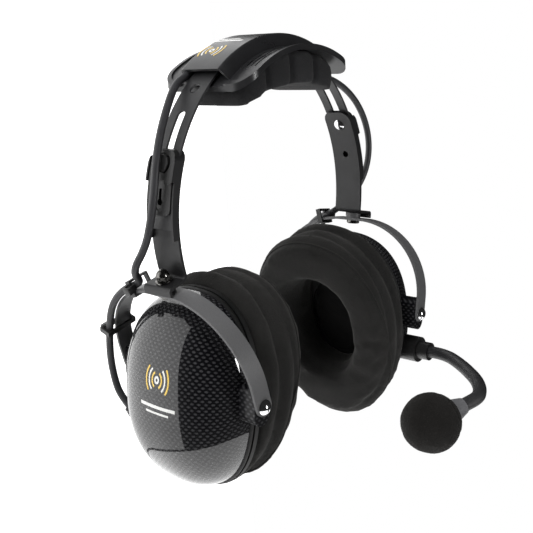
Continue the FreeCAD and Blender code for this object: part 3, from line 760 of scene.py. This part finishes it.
line = cableLine()
cuts = {
    "rightTail": nearest(line, runPoint((110.8, 53, -67), "right")),
    "rightRun": nearest(line, runPoint((98.2, 17.5, -4.9), "right")),
    "rightMid": nearest(line, rowPoint((-87.3, 4, 23))),
    "rightCrown": nearest(line, crownPoint(-37)),
    "leftCrown": nearest(line, crownPoint(37)),
    "leftMid": nearest(line, rowPoint((108, 3.6, 25))),
    "leftRun": nearest(line, runPoint((98.2, 17.5, -4.9), "left")),
    "leftTail": nearest(line, runPoint((110.8, 53, -67), "left")),
}


def layCable(name, first, last, node, body, other=None):
    stretch = line[first:last + 1]
    piece = makeTube(name, stretch, cable["radius"])
    if node:
        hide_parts(node)
    dress(piece, cableRubber, None if other else body)
    if other:
        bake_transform(piece)
    return piece


layCable("overhead_lead", cuts["rightCrown"], cuts["leftCrown"], "overhead_cable", "headband")
for side in sides:
    run = (cuts[side + "Run"], cuts[side + "Tail"])
    mid = cuts[side + "Mid"]
    crown = cuts[side + "Crown"]
    ends = {"left": len(line) - 1, "right": 0}
    tail = (cuts[side + "Tail"], ends[side])
    layCable(side + "_yoke_lead", min(run), max(run), side + "_cable_run", side + "_yoke")
    if side == "left":
        layCable("left_upper_lead", crown, mid, "left_cable_slack", "headband", "left_slider")
        layCable("left_lower_lead", mid, run[0], None, "left_slider", "left_yoke")
        layCable("left_cup_lead", tail[0], tail[1], "left_cable_tail", "left_yoke", "left_cup")
    else:
        layCable("right_upper_lead", mid, crown, "right_cable_slack", "right_slider", "headband")
        layCable("right_lower_lead", run[0], mid, None, "right_yoke", "right_slider")
        layCable("right_cup_lead", tail[1], tail[0], "right_cable_tail", "right_cup", "right_yoke")
print("cables ready")


# tie heads: the ratchet boxes of the zip ties, and a second strap beside each upper tie

tie = {"head": (5.6, 4.6, 4.2), "strap": (1.1, 3.0, 9.0)}


def makeTieHead(name, side, place, size, turn):
    bpy.ops.object.select_all(action="DESELECT")
    bpy.ops.mesh.primitive_cube_add(size=1, location=(0, 0, 0))
    piece = bpy.context.object
    piece.name = name
    for vertex in piece.data.vertices:
        vertex.co = Vector((vertex.co.x * size[0], vertex.co.y * size[1], vertex.co.z * size[2])) * mm
    selectOnly(piece)
    bpy.ops.object.mode_set(mode="EDIT")
    bpy.ops.mesh.select_mode(type="FACE")
    bpy.ops.mesh.select_all(action="DESELECT")
    bpy.ops.object.mode_set(mode="OBJECT")
    for face in piece.data.polygons:
        face.select = face.normal.z > 0.9
    bpy.ops.object.mode_set(mode="EDIT")
    bpy.ops.mesh.inset(thickness=size[0] * 0.2 * mm)
    bpy.ops.mesh.extrude_region_move(TRANSFORM_OT_translate={"value": (0, 0, -0.9 * mm)})
    bpy.ops.object.mode_set(mode="OBJECT")
    edge = piece.modifiers.new("edge", "BEVEL")
    edge.width = 0.45 * mm
    edge.segments = 2
    applyModifiers(piece)
    centre = runPoint(place, side)
    piece.data.transform(Matrix.Translation(centre) @ Matrix.Rotation(radians(turn) * sides[side], 4, "Y"))
    tidyNormals(piece)
    smooth(piece, 40)
    return piece


for side in sides:
    upper = makeTieHead(side + "_upper_tie_head", side, (103.9, 21.5, -6.6), tie["head"], 20)
    dress(upper, trimPlastic, side + "_yoke")
    lower = makeTieHead(side + "_lower_tie_head", side, (105.6, 52.9, -36.4), tie["head"], 100)
    dress(lower, trimPlastic, side + "_yoke")
    strap = makeTieHead(side + "_tie_strap", side, (101.6, 24.8, -8.4), tie["strap"], 20)
    dress(strap, cableRubber, side + "_yoke")
print("ties ready")


# badge: three sound arcs and two bars, printed on each dome

badge = {
    "rings": ((0.9, 2.1, 0, 360, "white"), (3.6, 4.7, -62, 62, "yellow"), (3.6, 4.7, 118, 242, "yellow"),
              (6.4, 7.5, -50, 50, "white"), (6.4, 7.5, 130, 230, "white"), (9.2, 10.3, -40, 40, "yellow"),
              (9.2, 10.3, 140, 220, "yellow")),
    "coverAt": -17.0, "coverRadius": 79.9, "coverScale": 0.9,
    "centre": (-5.0, 8.6), "bars": ((-5.0, -5.6, 24, 1.7), (-5.0, -8.9, 16, 1.1)), "proud": 0.12 * mm,
}


def onDome(side, across, up):
    # the spot on the dome that lies this far from the cup's middle
    flat = Vector((across * mm, up * mm - dome["centreZ"]))
    spread = ((abs(flat.x) / dome["halfY"]) ** dome["outline"]
              + (abs(flat.y) / dome["halfZ"]) ** dome["outline"]) ** (1 / dome["outline"])
    rise = (1 - spread ** dome["profile"]) ** (1 / dome["profile"])
    local = Vector((dome["rimX"] + dome["depth"] * rise + badge["proud"], across * mm, up * mm))
    return cupMatrix(side) @ local


def onCover(across, up):
    # the spot on the cover's raised middle: across runs from front to back, up runs towards the crown
    bearing = radians(badge["coverAt"]) + up / badge["coverRadius"]
    reach = badge["coverRadius"] + badge["proud"] / mm
    return rowPoint((reach * sin(bearing), across, cable["crownZ"] + reach * cos(bearing)))


def makePatch(name, spots, inside, material, body):
    # a thin printed patch over rows of spots
    rows = len(spots)
    columns = len(spots[0])
    vertices = [spot for row in spots for spot in row]
    faces = [(row * columns + column, row * columns + column + 1,
              (row + 1) * columns + column + 1, (row + 1) * columns + column)
             for row in range(rows - 1) for column in range(columns - 1)]
    mesh = bpy.data.meshes.new(name)
    mesh.from_pydata(vertices, [], faces)
    piece = bpy.data.objects.new(name, mesh)
    bpy.context.scene.collection.objects.link(piece)
    faceOutwards(piece, inside)
    skin = piece.modifiers.new("skin", "SOLIDIFY")
    skin.thickness = 0.2 * mm
    skin.offset = -1
    applyModifiers(piece)
    tidyNormals(piece)
    dress(piece, material, body)
    return piece


def printInk(name, colour):
    material, tree, shader, place = startMaterial(name, colour, 0.4)
    worn = addNoise(tree, place, 900, 4)
    darker = [value * 0.86 for value in colour]
    tree.links.new(addMix(tree, addRamp(tree, worn, 0, 1), darker, colour), shader.inputs["Base Color"])
    shader.inputs["Coat Weight"].default_value = 0.6
    shader.inputs["Coat Roughness"].default_value = 0.05
    return material


inks = {"white": printInk("whiteInk", (0.8, 0.8, 0.78)), "yellow": printInk("yellowInk", (0.83, 0.56, 0.08))}
def makeBadge(name, lay, inside, body, scale=1.0):
    for index, (inner, outer, first, last, ink) in enumerate(badge["rings"]):
        steps = max(8, int((last - first) / 7))
        angles = [radians(first + (last - first) * step / steps) for step in range(steps + 1)]
        spots = [[lay(scale * (badge["centre"][0] + reach * cos(angle) * 0.8),
                      scale * (badge["centre"][1] + reach * sin(angle))) for angle in angles]
                 for reach in (inner, outer)]
        makePatch(name + "_arc_" + str(index), spots, inside, inks[ink], body)
    for index, (across, up, width, height) in enumerate(badge["bars"]):
        spots = [[lay(scale * (across + width * (step / 16 - 0.5)), scale * (up + height * rise))
                  for step in range(17)] for rise in (-0.5, 0.5)]
        makePatch(name + "_bar_" + str(index), spots, inside, inks["white"], body)


for side in sides:
    makeBadge(side + "_badge", lambda across, up: onDome(side, across, up),
              cupMatrix(side) @ Vector((0, 0, 0)), side + "_cup")
makeBadge("cover_badge", lambda across, up: onCover(-across, -up), Vector((0, 0, -0.05)),
          "headband", badge["coverScale"])
print("badges ready")


# windscreen: an open-cell foam ball, gathered at the holder

screen = {
    "centre": (-6.6, -104.5, -86.2), "radius": 15.9 * mm, "axis": (-0.88, 0.42, -0.20), "grain": 0.22 * mm,
}


def makeWindscreen():
    bpy.ops.object.select_all(action="DESELECT")
    bpy.ops.mesh.primitive_ico_sphere_add(subdivisions=7, radius=screen["radius"])
    piece = bpy.context.object
    piece.name = "windscreen_foam"
    axis = Vector(screen["axis"]).normalized()
    for vertex in piece.data.vertices:
        out = vertex.co.normalized()
        along = out.dot(axis)
        lump = noise.noise(out * 3.1) * 0.25 * mm + noise.noise(out * 42) * screen["grain"]
        band = exp(-((along + 0.62) / 0.05) ** 2) * 0.5 * mm
        seat = max(0.0, -along - 0.86) * 4.0 * mm
        vertex.co = out * (screen["radius"] + lump - 0.3 * mm - band - seat)
    centre = screen["centre"]
    piece.data.transform(Matrix.Translation(rowPoint(centre)))
    smooth(piece, 180)
    return piece


windscreen = makeWindscreen()
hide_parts("windscreen")
dress(windscreen, screenFoam, "boom")
print("windscreen ready")


# studio

studio = {
    "cameraPlace": (-0.3605, -0.3046, 0.0319), "azimuth": -49.36, "elevation": 16.26, "roll": -4.25,
    "lens": 57.7, "middle": (0, 0, -0.15), "floorDrop": 0.8, "floorReach": 0.98, "wallReach": 1.6,
    "wallLow": -1.25, "wallHigh": 2.3, "wallFrom": -76, "wallTo": 46, "glow": 1.07, "dusk": 0.02,
}


def addCamera():
    data = bpy.data.cameras.new("camera")
    camera = bpy.data.objects.new("camera", data)
    bpy.context.scene.collection.objects.link(camera)
    turn = (Matrix.Rotation(radians(studio["azimuth"]), 4, "Z")
            @ Matrix.Rotation(radians(90 - studio["elevation"]), 4, "X")
            @ Matrix.Rotation(radians(studio["roll"]), 4, "Z"))
    camera.matrix_world = Matrix.Translation(studio["cameraPlace"]) @ turn
    data.sensor_width = 36
    data.lens = studio["lens"]
    data.clip_start = 0.01
    data.clip_end = 100
    bpy.context.scene.camera = camera
    return camera


def addAreaLight(name, place, target, size, power, glossy=True):
    data = bpy.data.lights.new(name, "AREA")
    data.shape = "RECTANGLE"
    data.size = size[0]
    data.size_y = size[1]
    data.energy = power
    light = bpy.data.objects.new(name, data)
    bpy.context.scene.collection.objects.link(light)
    light.location = place
    direction = Vector(target) - Vector(place)
    light.rotation_euler = direction.to_track_quat("-Z", "Y").to_euler()
    light.visible_glossy = glossy
    return light


def litPaper(name, glow):
    # white paper, lit from behind
    material, tree, shader, place = startMaterial(name, (0.9, 0.9, 0.9), 0.9, specular=0.1)
    shader.inputs["Emission Color"].default_value = (1, 1, 1, 1)
    shader.inputs["Emission Strength"].default_value = glow
    return material


def addPaper():
    paper = litPaper("studioPaper", studio["glow"])
    middle = studio["middle"]
    bpy.ops.object.select_all(action="DESELECT")
    bpy.ops.mesh.primitive_circle_add(vertices=96, radius=studio["floorReach"], fill_type="NGON",
                                      location=(middle[0], middle[1], middle[2] - studio["floorDrop"]))
    floor = bpy.context.object
    floor.name = "studio_floor"
    settle(floor)
    steps = 48
    vertices = []
    for step in range(steps + 1):
        bearing = radians(studio["wallFrom"] + (studio["wallTo"] - studio["wallFrom"]) * step / steps)
        for height in (studio["wallLow"], studio["wallHigh"]):
            vertices.append((middle[0] + studio["wallReach"] * sin(bearing),
                             middle[1] + studio["wallReach"] * cos(bearing), middle[2] + height))
    faces = [(2 * step, 2 * step + 2, 2 * step + 3, 2 * step + 1) for step in range(steps)]
    mesh = bpy.data.meshes.new("studio_wall")
    mesh.from_pydata(vertices, [], faces)
    wall = bpy.data.objects.new("studio_wall", mesh)
    bpy.context.scene.collection.objects.link(wall)
    for piece in (floor, wall):
        piece.data.materials.append(paper)


def addWorld():
    # white behind everything, dim for what the object mirrors
    world = bpy.data.worlds.new("studio")
    bpy.context.scene.world = world
    world.use_nodes = True
    tree = world.node_tree
    sky = tree.nodes["Background"]
    sky.inputs["Color"].default_value = (1, 1, 1, 1)
    path = tree.nodes.new("ShaderNodeLightPath")
    strength = tree.nodes.new("ShaderNodeMapRange")
    strength.inputs["To Min"].default_value = studio["dusk"]
    strength.inputs["To Max"].default_value = 1.0
    tree.links.new(path.outputs["Is Camera Ray"], strength.inputs["Value"])
    tree.links.new(strength.outputs["Result"], sky.inputs["Strength"])


addCamera()
addPaper()
addWorld()
addAreaLight("topSoftbox", (-0.35, -0.35, 1.1), (0, 0, -0.1), (0.8, 0.8), 11, False)
addAreaLight("frontStrip", (0.18, -1.25, -0.15), (0, 0, -0.12), (0.10, 0.55), 5)
addAreaLight("leftSoftbox", (-1.1, -0.1, 0.55), (-0.05, 0, -0.1), (0.5, 0.7), 7, False)
bpy.context.scene.view_settings.view_transform = "Standard"
print("studio ready")
